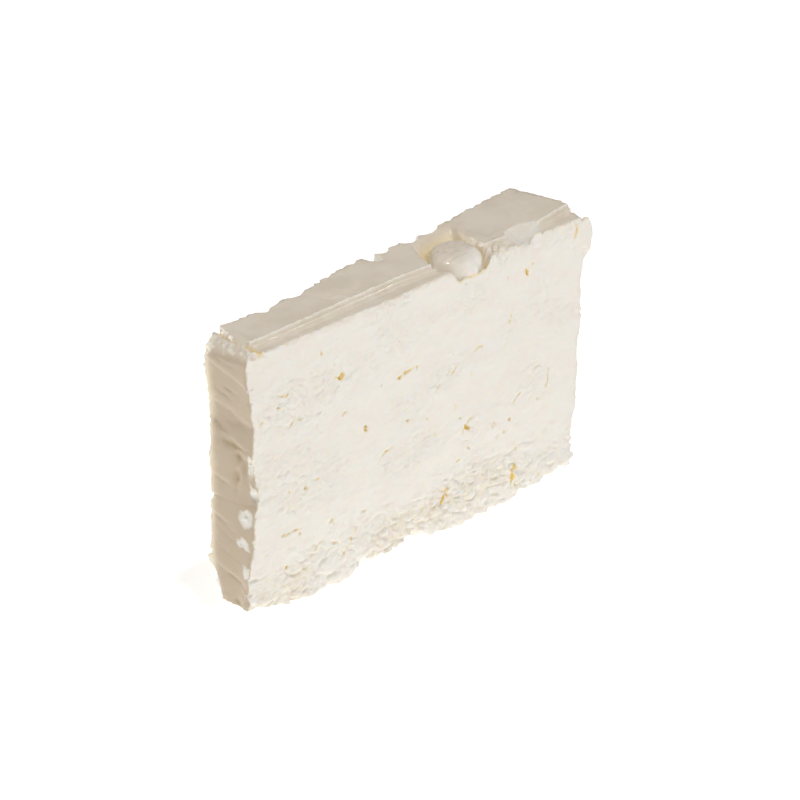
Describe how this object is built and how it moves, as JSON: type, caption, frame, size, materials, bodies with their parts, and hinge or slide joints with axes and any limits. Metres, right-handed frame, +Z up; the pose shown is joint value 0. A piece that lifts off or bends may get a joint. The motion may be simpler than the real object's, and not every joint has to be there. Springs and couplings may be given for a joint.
{
  "type": "feta cheese slice",
  "caption": "Slice of brined white cheese standing on its long edge, with a crumbly cut face, a smooth moist top with a low lip, and a hollow where a lump broke loose.",
  "frame": {"origin": "middle of the bounding box at table height, under the slice", "axes": "+X along the slice towards its thicker end, +Y from the cut front face to the back, +Z up"},
  "size_m": [0.1246, 0.0234, 0.0657],
  "materials": {
    "feta": "matt and crumbly on the cut face, smooth and faintly moist on the top and ends"
  },
  "bodies": {
    "root": {"feta_block": "feta"}
  },
  "joints": []
}
